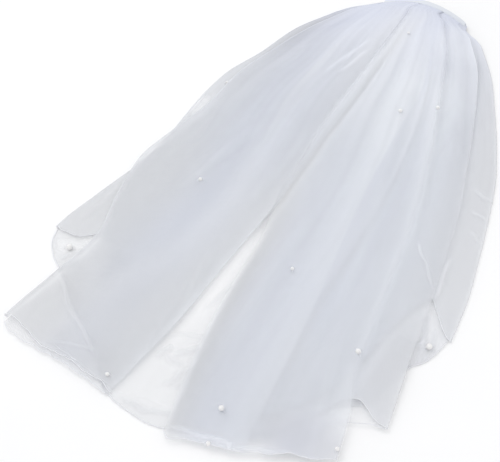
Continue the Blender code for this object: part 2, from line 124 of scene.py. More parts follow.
HEMS = {
    "back": (
        (-0.233, 0.519), (-0.230, 0.535), (-0.223, 0.549), (-0.208, 0.566), (-0.189, 0.583),
        (-0.159, 0.611), (-0.120, 0.645), (-0.087, 0.683), (-0.060, 0.695), (-0.040, 0.699),
        (-0.018, 0.698), (0.003, 0.691), (0.030, 0.687), (0.060, 0.672), (0.090, 0.640),
        (0.112, 0.616), (0.130, 0.606), (0.141, 0.589), (0.148, 0.567), (0.156, 0.551),
        (0.168, 0.537), (0.174, 0.524), (0.179, 0.508), (0.182, 0.494),
    ),
    "inner_left": (
        (-0.236, 0.519), (-0.218, 0.525), (-0.205, 0.524), (-0.186, 0.514), (-0.165, 0.530),
        (-0.140, 0.575), (-0.100, 0.640),
    ),
    "inner_right": (
        (0.030, 0.672), (0.080, 0.630), (0.110, 0.570), (0.130, 0.500), (0.149, 0.464),
        (0.157, 0.475), (0.164, 0.486), (0.171, 0.497), (0.178, 0.505), (0.185, 0.507),
    ),
    "under_left": (
        (-0.220, 0.650), (-0.206, 0.660), (-0.189, 0.665), (-0.166, 0.669), (-0.141, 0.673),
        (-0.102, 0.682), (-0.070, 0.692),
    ),
    "middle_left": ((-0.170, 0.657), (-0.140, 0.664), (-0.100, 0.676), (-0.060, 0.684)),
    "front_left": (
        (-0.222, 0.650), (-0.208, 0.649), (-0.198, 0.652), (-0.189, 0.657), (-0.177, 0.663),
        (-0.166, 0.667), (-0.148, 0.670), (-0.130, 0.672), (-0.112, 0.679), (-0.098, 0.679),
        (-0.080, 0.689), (-0.060, 0.694),
    ),
    "under_right": (
        (-0.020, 0.688), (0.010, 0.688), (0.032, 0.686), (0.043, 0.692), (0.055, 0.682),
        (0.072, 0.676), (0.095, 0.676), (0.108, 0.646), (0.120, 0.634), (0.135, 0.629),
        (0.148, 0.626), (0.160, 0.626),
    ),
    "middle_right": (
        (-0.015, 0.694), (0.030, 0.691), (0.060, 0.679), (0.090, 0.650), (0.112, 0.612),
        (0.125, 0.606), (0.135, 0.612), (0.145, 0.621), (0.160, 0.625),
    ),
    "pleat_right": ((-0.015, 0.707), (0.020, 0.704), (0.055, 0.699)),
    "front_right": (
        (-0.020, 0.705), (-0.010, 0.713), (0.006, 0.708), (0.020, 0.706), (0.035, 0.705),
        (0.049, 0.703), (0.064, 0.697), (0.077, 0.693), (0.092, 0.686), (0.104, 0.685),
        (0.130, 0.677),
    ),
}
HEADING_COLUMNS = ("drop", "left", "right")
HEADING_EDGES = (
    (0.000, -0.056, 0.056),
    (0.014, -0.078, 0.058),
    (0.026, -0.092, 0.066),
    (0.036, -0.100, 0.076),
    (0.045, -0.107, 0.084),
)
PLEAT_COLUMNS = ("top", "half_way", "hem", "height", "half_width", "fades_from", "flat_at")
PLEATS = (
    (-0.076, -0.156, -0.176, 0.0031, 0.026, 0.40, 0.68),
    (-0.048, -0.116, -0.130, 0.0034, 0.028, 0.50, 0.80),
    (-0.022, -0.074, -0.088, 0.0040, 0.028, 0.30, 0.62),
    (-0.002, -0.004, 0.006, 0.0040, 0.025, 0.45, 0.80),
    (0.014, 0.042, 0.040, 0.0046, 0.026, 0.48, 0.85),
    (0.034, 0.084, 0.084, 0.0040, 0.025, 0.50, 0.80),
    (0.058, 0.126, 0.136, 0.0035, 0.024, 0.35, 0.62),
)
HALF_WAY = 0.35
FULL_LENGTH = 0.70
PLEATS_RISE = (0.03, 0.16)
PLEAT_NARROWEST = 0.45
PLEAT_WIDEST = 1.14
PUFF_HEIGHT = 0.0022
PUFF_WIDTH = 0.026
PUFF_RISES = (0.08, 0.30)
ROLL_STEPS = 7
# Between the comb and the V the front plies thin out towards the seam, over these widths.
SEAM_FADES = {"front_left": 0.012, "front_right": 0.012}
SEAM_STARTS, SEAM_ENDS = (0.09, 0.18), (0.36, 0.44)
# A ply's right edge that fades out becomes crisp between these distances from the comb.
CRISP_RIGHT = (0.58, 0.63)
LEFT_ROLL_COVER = 1.8
RIGHT_ROLL_COVER = 0.30

# Plies from the table up. fade_left and fade_right say over what width a hidden edge thins out.
# fullness is how much net lies in the ply, compared with a smooth single layer.
PLY_COLUMNS = (
    "name", "level", "left", "right", "rolls_left_to", "rolls_right_to", "left_in", "right_in",
    "puff", "fade_left", "fade_right", "crisp_from", "fullness",
)
PLIES = (
    ("back", 0, "back_left", "back_right", None, None, 0.0025, 0.0025, "", 0.0, 0.0, 0.57, 1.6),
    ("inner_left", 1, "back_left", "pleat_left", 0, None, 0.0012, 0.0, "", 0.0, 0.030, 0.57, 3.7),
    ("inner_right", 1, "pleat_right", "back_right", None, 0, 0.0, 0.0012, "", 0.012, 0.0, 0.57, 4.8),
    ("under_left", 2, "lobe_left", "v_left", None, None, 0.0045, 0.0040, "", 0.0, 0.0, 0.57, 2.4),
    ("under_right", 2, "middle_seam", "under_right", None, None, 0.0, 0.0025, "", 0.0, 0.0, 0.57, 2.1),
    ("middle_left", 3, "pleat_left", "v_left", None, None, 0.0, 0.0025, "", 0.030, 0.0, 0.57, 1.6),
    ("middle_right", 3, "pleat_right", "under_right", None, 2, 0.0, 0.0012, "", 0.010, 0.0, 0.57, 1.5),
    ("pleat_right", 4, "middle_seam", "pleat_right", None, None, 0.0, 0.0, "", 0.0, 0.000, 0.57, 2.4),
    ("front_left", 4, "lobe_left", "v_left", 2, 3, 0.0030, 0.0012, "left", 0.0, 0.0, 0.57, 2.1),
    ("front_right", 5, "v_right", "lobe_right", None, None, 0.0, 0.0, "right", 0.010, 0.011, 0.38, 2.3),
)

# Long soft creases that every ply follows. start and end are distances from the comb; from and
# to are places across the back there, from 0 at its left edge to 1 at its right.
CREASE_COLUMNS = ("start", "end", "from_share", "to_share", "height", "half_width")
CREASES = (
    (0.04, 0.30, 0.045, 0.060, 0.0009, 0.0050),
    (0.05, 0.42, 0.110, 0.095, 0.0007, 0.0060),
    (0.03, 0.24, 0.160, 0.185, 0.0011, 0.0045),
    (0.08, 0.50, 0.215, 0.190, 0.0008, 0.0070),
    (0.03, 0.20, 0.262, 0.300, 0.0010, 0.0040),
    (0.05, 0.36, 0.322, 0.345, 0.0009, 0.0060),
    (0.03, 0.27, 0.385, 0.360, 0.0011, 0.0045),
    (0.04, 0.18, 0.430, 0.447, 0.0010, 0.0040),
    (0.05, 0.33, 0.475, 0.445, 0.0012, 0.0050),
    (0.03, 0.22, 0.520, 0.512, 0.0010, 0.0040),
    (0.04, 0.46, 0.565, 0.552, 0.0011, 0.0060),
    (0.03, 0.20, 0.610, 0.628, 0.0009, 0.0040),
    (0.05, 0.54, 0.655, 0.690, 0.0010, 0.0065),
    (0.03, 0.25, 0.710, 0.735, 0.0011, 0.0045),
    (0.04, 0.38, 0.760, 0.790, 0.0009, 0.0055),
    (0.03, 0.19, 0.815, 0.826, 0.0010, 0.0040),
    (0.05, 0.30, 0.865, 0.885, 0.0008, 0.0050),
    (0.03, 0.16, 0.915, 0.930, 0.0008, 0.0040),
    (0.04, 0.24, 0.960, 0.950, 0.0007, 0.0045),
    (0.46, 0.66, 0.330, 0.275, 0.0006, 0.0070),
    (0.42, 0.68, 0.800, 0.770, 0.0007, 0.0080),
    (0.44, 0.62, 0.640, 0.625, 0.0006, 0.0070),
)

# Small wrinkles of single plies, from one point to another in the comb's coordinates.
WRINKLE_COLUMNS = ("ply", "x0", "y0", "x1", "y1", "height", "half_width", "doubling")
WRINKLES = (
    ("back", -0.046, -0.623, -0.031, -0.604, 0.0007, 0.0030, 1.0),
    ("back", -0.055, -0.625, -0.038, -0.631, 0.0006, 0.0026, 0.7),
    ("back", -0.040, -0.655, -0.033, -0.636, 0.0010, 0.0026, 1.1),
    ("back", -0.033, -0.636, -0.018, -0.625, 0.0010, 0.0026, 1.1),
    ("back", -0.034, -0.652, -0.018, -0.634, 0.0007, 0.0036, 0.6),
    ("back", -0.066, -0.684, -0.046, -0.689, 0.0007, 0.0024, 1.1),
    ("back", -0.046, -0.689, -0.018, -0.679, 0.0006, 0.0022, 1.0),
    ("back", -0.061, -0.630, -0.056, -0.613, 0.0007, 0.0024, 1.2),
    ("back", -0.046, -0.560, -0.036, -0.520, 0.0006, 0.0030, 0.6),
    ("back", -0.062, -0.600, -0.030, -0.590, 0.0005, 0.0030, 0.5),
    ("back", -0.206, -0.557, -0.193, -0.538, 0.0010, 0.0022, 1.6),
    ("back", -0.200, -0.572, -0.190, -0.552, 0.0010, 0.0024, 1.8),
    ("back", -0.228, -0.532, -0.220, -0.548, 0.0007, 0.0024, 0.9),
    ("back", 0.152, -0.482, 0.159, -0.545, 0.0013, 0.0024, 1.6),
    ("back", 0.158, -0.520, 0.166, -0.536, 0.0010, 0.0022, 1.4),
    ("back", 0.150, -0.522, 0.160, -0.516, 0.0008, 0.0020, 1.2),
    ("back", 0.162, -0.498, 0.169, -0.530, 0.0009, 0.0024, 0.9),
    ("front_left", -0.187, -0.588, -0.158, -0.618, 0.0007, 0.0022, 0.4),
    ("front_left", -0.158, -0.618, -0.114, -0.652, 0.0008, 0.0018, 0.6),
    ("front_left", -0.158, -0.656, -0.118, -0.648, 0.0007, 0.0018, 0.4),
    ("front_left", -0.070, -0.480, -0.060, -0.600, 0.0009, 0.0060, 0.2),
    ("front_left", -0.100, -0.300, -0.140, -0.430, 0.0008, 0.0070, 0.2),
    ("front_left", -0.048, -0.280, -0.060, -0.420, 0.0009, 0.0060, 0.2),
    ("front_left", -0.043, -0.108, -0.068, -0.176, 0.0012, 0.0028, 0.6),
    ("front_left", -0.036, -0.128, -0.052, -0.172, 0.0010, 0.0024, 0.6),
    ("front_right", 0.004, -0.420, -0.006, -0.600, 0.0009, 0.0070, 0.2),
    ("front_right", 0.060, -0.330, 0.072, -0.520, 0.0009, 0.0070, 0.2),
    ("front_right", -0.016, -0.698, 0.012, -0.695, 0.0011, 0.0015, 1.4),
    ("front_right", 0.012, -0.695, 0.040, -0.693, 0.0011, 0.0015, 1.4),
    ("front_right", 0.040, -0.692, 0.044, -0.706, 0.0010, 0.0014, 1.2),
    ("front_right", 0.046, -0.695, 0.082, -0.684, 0.0008, 0.0015, 0.8),
    ("front_right", 0.082, -0.684, 0.118, -0.677, 0.0007, 0.0015, 0.7),
    ("front_right", 0.090, -0.560, 0.104, -0.670, 0.0009, 0.0060, 0.2),
    ("middle_right", 0.115, -0.402, 0.128, -0.424, 0.0010, 0.0020, 1.2),
    ("middle_right", 0.128, -0.424, 0.146, -0.452, 0.0010, 0.0020, 1.2),
    ("middle_right", 0.128, -0.520, 0.120, -0.600, 0.0008, 0.0050, 0.2),
    ("inner_right", 0.150, -0.408, 0.150, -0.460, 0.0011, 0.0020, 1.2),
    ("inner_right", 0.155, -0.205, 0.166, -0.290, 0.0007, 0.0040, 0.2),
    ("inner_right", 0.146, -0.300, 0.168, -0.308, 0.0009, 0.0020, 0.8),
    ("inner_right", 0.152, -0.330, 0.168, -0.338, 0.0008, 0.0020, 0.6),
    ("inner_right", 0.158, -0.360, 0.172, -0.372, 0.0007, 0.0024, 0.4),
    ("inner_left", -0.214, -0.500, -0.200, -0.430, 0.0007, 0.0040, 0.2),
)

# Places where the net is spread out or lies double, and where it is thinned only so that places in
# shadow look lighter, which is painted light: the ply, the middle, the half extents and what its
# fullness is multiplied by there.
PATCH_COLUMNS = ("ply", "x", "y", "half_x", "half_y", "times")
PATCHES = (
    ("under_left", -0.200, -0.657, 0.020, 0.012, 0.80),
    ("front_left", -0.190, -0.625, 0.034, 0.040, 1.45),
    # Thinned so that the shadow below middle_right's hem looks lighter: painted light.
    ("under_right", 0.131, -0.621, 0.017, 0.013, 0.40),
    ("middle_right", 0.138, -0.590, 0.034, 0.060, 3.40),
    ("front_right", 0.106, -0.670, 0.044, 0.034, 3.20),
    ("back", 0.162, -0.520, 0.024, 0.045, 1.80),
    ("back", -0.212, -0.548, 0.026, 0.034, 1.80),
    # Thinned so that the shadow beside the V's left edge looks lighter: painted light.
    ("back", -0.056, -0.500, 0.015, 0.100, 0.45),
    ("back", -0.050, -0.645, 0.050, 0.056, 1.40),
    ("back", -0.044, -0.694, 0.064, 0.014, 1.50),
    ("back", -0.183, -0.284, 0.010, 0.028, 0.85),
    # Thinned so that the shadow under inner_left's hem looks lighter: painted light.
    ("back", -0.204, -0.540, 0.022, 0.010, 0.60),
    # Thinned so that the shadow under middle_right looks lighter: painted light.
    ("back", 0.122, -0.613, 0.018, 0.013, 0.40),
    ("inner_left", -0.183, -0.284, 0.010, 0.028, 0.40),
)

# Pearls, in the comb's coordinates as they are seen on the table, with the ply that each is on.
PEARL_COLUMNS = ("x", "y", "diameter", "ply")
PEARLS = (
    (-0.172, -0.231, 0.0040, "inner_left"),
    (-0.128, -0.396, 0.0040, "front_left"),
    (0.029, -0.204, 0.0046, "front_right"),
    (0.066, -0.182, 0.0044, "front_right"),
    (0.009, -0.477, 0.0036, "front_right"),
    (0.102, -0.548, 0.0052, "front_right"),
    (0.015, -0.656, 0.0052, "front_right"),
    (-0.094, -0.664, 0.0040, "middle_left"),
    (-0.206, -0.539, 0.0062, "back"),
    (0.162, -0.518, 0.0062, "back"),
    (0.020, -0.694, 0.0042, "front_right"),
    (0.122, -0.655, 0.0040, "front_right"),
    (-0.009, -0.060, 0.0032, "front_right"),
)
THREAD_RADIUS = 0.00022

# The corded hem, a tube of this radius that lies this much over the cloth's edge
HEM_RADIUS = 0.0004
HEM_RISE = 0.0003
CORD_SIDES = 6

# Section of the ribbon, from its front edge over the gathers and down behind the comb. Heights
# are lifts over the gathers, of which the ribbon stands on this share.
RIBBON_COLUMNS = ("outer_y", "outer_lift", "inner_y", "inner_lift", "share")
RIBBON_SECTION = (
    (-RIBBON_FRONT, -0.0003, -RIBBON_FRONT, -0.0010, 1.0),
    (-0.0058, 0.0006, -0.0058, -0.0006, 1.0),
    (-0.0030, 0.0010, -0.0030, -0.0002, 1.0),
    (0.0006, 0.0006, 0.0004, 0.0000, 1.0),
    (0.0021, -0.0008, 0.0012, -0.0012, 1.0),
    (0.0025, 0.0000, 0.0014, 0.0000, 0.3),
    (0.0025, -0.0022, 0.0014, -0.0022, 0.0),
)


def smooth_step(low, high, value):
    t = np.clip((value - low) / (high - low), 0.0, 1.0)
    return t * t * (3.0 - 2.0 * t)


def smooth_curve(stations, values, at):
    """Values read from a smooth curve through the stations that never swings past them."""
    stations = np.asarray(stations, float)
    values = np.asarray(values, float)
    steps = np.diff(stations)
    slopes = np.diff(values) / steps
    tangents = np.zeros_like(values)
    tangents[0], tangents[-1] = slopes[0], slopes[-1]
    for i in range(1, len(values) - 1):
        if slopes[i - 1] * slopes[i] > 0.0:
            tangents[i] = 2.0 * slopes[i - 1] * slopes[i] / (slopes[i - 1] + slopes[i])
    at = np.clip(at, stations[0], stations[-1])
    i = np.clip(np.searchsorted(stations, at, side="right") - 1, 0, len(steps) - 1)
    t = (at - stations[i]) / steps[i]
    start, end = values[i], values[i + 1]
    return (
        start * (1 + 2 * t) * (1 - t) ** 2
        + steps[i] * tangents[i] * t * (1 - t) ** 2
        + end * t * t * (3 - 2 * t)
        - steps[i] * tangents[i + 1] * t * t * (1 - t)
    )


def hashed(cell, seed):
    """A fixed number from 0 to 1 for each whole number."""
    value = np.sin(cell * 12.9898 + seed * 78.233) * 43758.5453
    return value - np.floor(value)


def uneven(at, seed):
    """A smooth uneven curve from -1 to 1, with about one swing for each unit."""
    cell = np.floor(at)
    t = at - cell
    t = t * t * (3.0 - 2.0 * t)
    return 2.0 * (hashed(cell, seed) * (1.0 - t) + hashed(cell + 1.0, seed) * t) - 1.0


FOLDS = {name: [row[i] for row in FOLD_LINES] for i, name in enumerate(FOLD_COLUMNS)}
DROPS = np.array(FOLDS["drop"])
HEADING = {name: [row[i] for row in HEADING_EDGES] for i, name in enumerate(HEADING_COLUMNS)}


def fold_line(name, drop):
    """A fold line's place to the side. Above the heading's end the lines draw in to the comb."""
    if name == "middle_seam":
        return np.maximum(fold_line("v_left", drop), fold_line("v_right", drop)) + SEAM_GAP
    place = smooth_curve(FOLDS["drop"], FOLDS[name], drop)
    left, right = FOLDS["back_left"][0], FOLDS["back_right"][0]
    share = (FOLDS[name][0] - left) / (right - left)
    top_left = smooth_curve(HEADING["drop"], HEADING["left"], drop)
    top_right = smooth_curve(HEADING["drop"], HEADING["right"], drop)
    return np.where(drop < HEADING_LENGTH, top_left + share * (top_right - top_left), place)


def share_across(side, drop):
    """Place across the whole veil, from 0 at the back's left edge to 1 at its right."""
    left, right = fold_line("back_left", drop), fold_line("back_right", drop)
    return (side - left) / (right - left)


def arch_height(side, drop):
    """Height at which the comb carries the lowest ply."""
    drop = np.maximum(drop, 0.0)
    fade = np.exp(-((drop / ARCH_REACH) ** 2))
    half = BOW_WIDTH / 2.0 + ARCH_SPREAD * drop
    bow = COMB_RISE * np.maximum(0.0, 1.0 - (side / half) ** 2)
    plateau = CLEARANCE * (1.0 - smooth_step(half, half + PLATEAU_EDGE, np.abs(side)))
    return fade * (bow + plateau)


def pleat_height(side, drop):
    """Height of the soft pleats, which every ply follows."""
    total = np.zeros_like(side + drop)
    stations = (HEADING_LENGTH, HALF_WAY, FULL_LENGTH)
    for row in PLEATS:
        pleat = dict(zip(PLEAT_COLUMNS, row))
        centre = smooth_curve(stations, [pleat["top"], pleat["half_way"], pleat["hem"]], drop)
        grown = PLEAT_NARROWEST + (1.0 - PLEAT_NARROWEST) * drop / HALF_WAY
        width = pleat["half_width"] * np.clip(grown, PLEAT_NARROWEST, PLEAT_WIDEST)
        across = np.clip((side - centre) / width, -1.0, 1.0)
        along = smooth_step(*PLEATS_RISE, drop)
        along = along * (1.0 - smooth_step(pleat["fades_from"], pleat["flat_at"], drop))
        total = total + pleat["height"] * along * np.cos(across * math.pi / 2.0) ** 2
    return total


def gather_phase(share):
    """Gathers of uneven width, counted across the heading."""
    return GATHERS * (share + 0.010 * np.sin(19.0 * share) + 0.006 * np.sin(47.0 * share + 1.0))


def gather_height(side, drop):
    """Height of the gathers, which run out at uneven distances below the comb."""
    phase = gather_phase(share_across(side, drop))
    cell = np.floor(phase)
    reach = 0.055 + 0.075 * hashed(cell, 3.0)
    tall = 0.55 + 0.45 * hashed(cell, 5.0)
    edge = np.clip(np.sin(math.pi * np.clip(share_across(side, drop), 0.0, 1.0)), 0.0, 1.0)
    wave = 0.5 - 0.5 * np.cos(2.0 * math.pi * phase)
    fade = 1.0 - smooth_step(0.35 * reach, reach, drop)
    return GATHER_SHOWS * GATHER_HEIGHT * tall * wave * fade * edge ** HEADING_ROUNDING


def crease_height(side, drop):
    share = share_across(side, drop)
    width = fold_line("back_right", drop) - fold_line("back_left", drop)
    total = np.zeros_like(side + drop)
    for row in CREASES:
        crease = dict(zip(CREASE_COLUMNS, row))
        along = (drop - crease["start"]) / (crease["end"] - crease["start"])
        centre = crease["from_share"] + (crease["to_share"] - crease["from_share"]) * along
        centre = centre + 0.004 * uneven(along * 3.0, crease["end"] * 97.0)
        off = (share - centre) * width / (crease["half_width"] * (0.6 + 0.8 * np.clip(along, 0, 1)))
        tall = smooth_step(0.0, 0.25, along) * (1.0 - smooth_step(0.55, 1.0, along))
        total = total + crease["height"] * tall * np.exp(-off * off)
    return total


def close_to_v(side, drop):
    """From 0 to 1 beside the V, where the plies lie closer together."""
    away = np.maximum(fold_line("v_left", drop) - side, side - fold_line("v_right", drop))
    return smooth_step(*V_OPENS, drop) * (1.0 - smooth_step(0.0, V_REACH, away))


def level_height(level, side, drop):
    """Height of a level of the stack over the lowest ply. The levels draw together at the comb,
    where they spread through the heading's whole thickness, also where few plies show."""
    part = smooth_step(0.0, HEADING_LENGTH, drop)
    share = np.clip(share_across(side, drop), 0.0, 1.0)
    rounded = np.sin(math.pi * share) ** HEADING_ROUNDING
    top_level = np.interp(share, TOP_SHARES, TOP_LEVELS)
    spread = np.minimum(level * HEADING_LEVELS / top_level, HEADING_LEVELS)
    settled = SETTLED * smooth_step(*SETTLES, drop)
    closeness = np.maximum(V_CLOSENESS * close_to_v(side, drop), settled)
    open_step = PLY_STEP * (1.0 - closeness)
    return COMB_PLY_STEP * spread * rounded * (1.0 - part) + open_step * level * part


def ply_height(level, side, drop):
    base = arch_height(side, drop) + pleat_height(side, drop)
    base = base + gather_height(side, drop) + crease_height(side, drop)
    return base + WALL / 2.0 + level_height(level, side, drop)


def wrinkles_of(name, side, drop):
    """Height of a ply's own small wrinkles, and how much they double its net."""
    height = np.zeros_like(side + drop)
    doubled = np.zeros_like(side + drop)
    for row in WRINKLES:
        fold = dict(zip(WRINKLE_COLUMNS, row))
        if fold["ply"] != name:
            continue
        dx, dy = fold["x1"] - fold["x0"], fold["y1"] - fold["y0"]
        length = math.hypot(dx, dy)
        along = ((side - fold["x0"]) * dx + (-drop - fold["y0"]) * dy) / length ** 2
        across = ((side - fold["x0"]) * dy - (-drop - fold["y0"]) * dx) / length
        across = across + 0.0010 * np.sin(along * 5.0 + fold["x0"] * 400.0)
        tall = np.exp(-((along - 0.5) / 0.52) ** 6) * np.exp(-((across / fold["half_width"]) ** 2))
        height = height + fold["height"] * tall
        doubled = doubled + fold["doubling"] * tall
    return height, doubled


def puff(ply, side, drop):
    """Extra height of a lobe near its open outer fold."""
    if not ply["puff"]:
        return np.zeros_like(side)
    edge = fold_line(ply[ply["puff"]], drop)
    near = 1.0 - np.clip(np.abs(side - edge) / PUFF_WIDTH, 0.0, 1.0)
    grows = smooth_step(*PUFF_RISES, drop)
    return PUFF_HEIGHT * grows * near * near * (3.0 - 2.0 * near)


def hem_at(ply, across):
    """Distance of the hem from the comb, for fractions across the ply, with its small waves."""
    places, drops = zip(*HEMS[ply["name"]])
    drop = np.full_like(across, FULL_LENGTH)
    for _ in range(8):
        left = fold_line(ply["left"], drop)
        right = fold_line(ply["right"], drop)
        side = left + (right - left) * across
        drop = smooth_curve(places, drops, side)
    drop = drop - SETTLED_DRAW * SETTLED * PLY_STEP * ply["level"] * smooth_step(*SETTLES, drop)
    seed = ply["level"] + 0.3 * len(ply["name"])
    return drop + 0.0008 * uneven(side / 0.011, seed) + 0.0006 * uneven(side / 0.005, seed + 9.0)


def drawn(points):
    """Points in comb coordinates, drawn forward by the askew comb."""
    shift = np.interp(points[..., 0], ASKEW_SIDES, ASKEW_SHIFTS)
    moved = points.copy()
    moved[..., 1] -= shift * (1.0 - smooth_step(*ASKEW_FADES, -points[..., 1]))
    return moved


comb_low, comb_high = (Vector(corner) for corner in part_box("comb"))
COMB_END_SHIFT = float(np.interp(-COMB_WIDTH / 2.0, ASKEW_SIDES, ASKEW_SHIFTS))
COMB_REAR = COMB_FORWARD - SPINE_DEPTH / 2.0 + COMB_END_SHIFT
COMB_PLACE = Vector(((comb_low.x + comb_high.x) / 2.0, comb_high.y + COMB_REAR, 0.0))


def hem_lift(ply, side, drop, hem):
    """Waves of a ply near its hem, which only lift it."""
    seed = 11.0 + ply["level"] + 0.7 * len(ply["name"])
    near = np.clip(1.0 - (hem - drop) / 0.035, 0.0, 1.0) ** 2
    wave = 0.5 + 0.5 * uneven(side / 0.016, seed)
    return 0.0007 * near * wave


def surface(ply, side, drop, hem):
    height = ply_height(ply["level"], side, drop) + puff(ply, side, drop)
    return height + wrinkles_of(ply["name"], side, drop)[0] + hem_lift(ply, side, drop, hem)


def edge_roll(edge_side, drop, top, low, bulge):
    """Points round a fold, from the ply below up to the edge of a ply, lowest first."""
    radius = (top - low) / 2.0
    points = []
    for angle in np.linspace(-math.pi / 2.0, math.pi / 2.0, ROLL_STEPS, endpoint=False):
        x = edge_side + bulge * math.cos(angle)
        points.append(np.stack([x, -drop, low + radius + radius * math.sin(angle)], axis=-1))
    return points


def ply_grid(ply):
    """Rows of points down a ply, with its cloth coordinates and how thickly the net lies."""
    widest = np.max(fold_line(ply["right"], DROPS) - fold_line(ply["left"], DROPS))
    across = np.linspace(0.0, 1.0, int(math.ceil(widest / GRID_PITCH)) + 1)
    hem = hem_at(ply, across)
    drops = [np.full_like(hem, d) for d in np.linspace(0.0, UPPER_END, int(UPPER_END / GRID_PITCH))]
    lower = int((np.max(hem) - UPPER_END) / GRID_PITCH)
    drops += [UPPER_END + part * (hem - UPPER_END) for part in np.linspace(0.0, 1.0, lower)[1:]]
    drop = np.array(drops)
    left = fold_line(ply["left"], drop)
    right = fold_line(ply["right"], drop)
    inset = smooth_step(0.0, HEADING_LENGTH, drop)
    left_in = left + ply["left_in"] * inset
    right_in = right - ply["right_in"] * inset
    side = left_in + (right_in - left_in) * across
    height = surface(ply, side, drop, hem)
    points = np.stack([side, -drop, height], axis=-1)
    crisp = 1.0 - 0.9 * smooth_step(ply["crisp_from"], ply["crisp_from"] + 0.05, drop)
    from_left = (side - left_in) / np.maximum(ply["fade_left"] * crisp, 1e-6)
    crisp = 1.0 - 0.9 * smooth_step(*CRISP_RIGHT, drop)
    from_right = (right_in - side) / np.maximum(ply["fade_right"] * crisp, 1e-6)
    cover = smooth_step(0.0, 1.0, from_left) if ply["fade_left"] else np.ones_like(side)
    if ply["fade_right"]:
        cover = cover * smooth_step(0.0, 1.0, from_right)
    joined = smooth_step(*SEAM_STARTS, drop) * (1.0 - smooth_step(*SEAM_ENDS, drop))
    if ply["name"] in SEAM_FADES:
        from_seam = right_in - side if ply["name"].endswith("_left") else side - left_in
        from_seam = from_seam / np.maximum(SEAM_FADES[ply["name"]] * joined, 1e-6)
        cover = cover * smooth_step(0.0, 1.0, from_seam)
    parts = [points]
    covers = [cover]
    edges = ((0, "rolls_left_to", -ply["left_in"]), (-1, "rolls_right_to", ply["right_in"]))
    for edge, to, bulge in edges:
        own = ply[to]
        if own is None:
            continue
        low = ply_height(own, side[:, edge], drop[:, edge])
        bulges = bulge * inset[:, edge]
        rolled = edge_roll(side[:, edge], drop[:, edge], height[:, edge], low, bulges)
        rolled = np.stack(rolled, axis=1)
        if edge == -1:
            rolled = rolled[:, ::-1]
            parts.append(rolled)
            open_part = 1.0 - joined[:, -1:] if ply["name"] in SEAM_FADES else 1.0
            covers.append(np.full(rolled.shape[:2], RIGHT_ROLL_COVER) * open_part)
        else:
            parts.insert(0, rolled)
            covers.insert(0, np.full(rolled.shape[:2], LEFT_ROLL_COVER))
    return np.concatenate(parts, axis=1), np.concatenate(covers, axis=1), hem


def near_place(place, side, drop):
    """From 1 in the middle of a place to 0 around it."""
    off = ((side - place["x"]) / place["half_x"]) ** 2
    off = off + ((-drop - place["y"]) / place["half_y"]) ** 2
    return np.exp(-(off ** 2))


def fullness_of(ply, points):
    """How much net lies at each point: the gathers crowd it together near the comb."""
    side, drop = points[..., 0], -points[..., 1]
    share = share_across(side, drop)
    close, wide = (2.0, 0.3) if ply["level"] < 2 else (13.0, 2.4)
    crowded = 1.0 + close * np.exp(-((drop / 0.055) ** 1.2)) + wide * np.exp(-((drop / 0.19) ** 2))
    streaks = 0.13 * uneven(share * 31.0, 2.0 + ply["level"]) + 0.08 * uneven(share * 67.0, 6.0)
    streaks = streaks * (1.0 - 0.75 * smooth_step(0.10, 0.45, drop))
    full = ply["fullness"] * crowded * (1.0 + streaks)
    full = full * (1.0 + wrinkles_of(ply["name"], side, drop)[1])
    for row in PATCHES:
        patch = dict(zip(PATCH_COLUMNS, row))
        if patch["ply"] != ply["name"]:
            continue
        full = full * (1.0 + (patch["times"] - 1.0) * near_place(patch, side, drop))
    return full
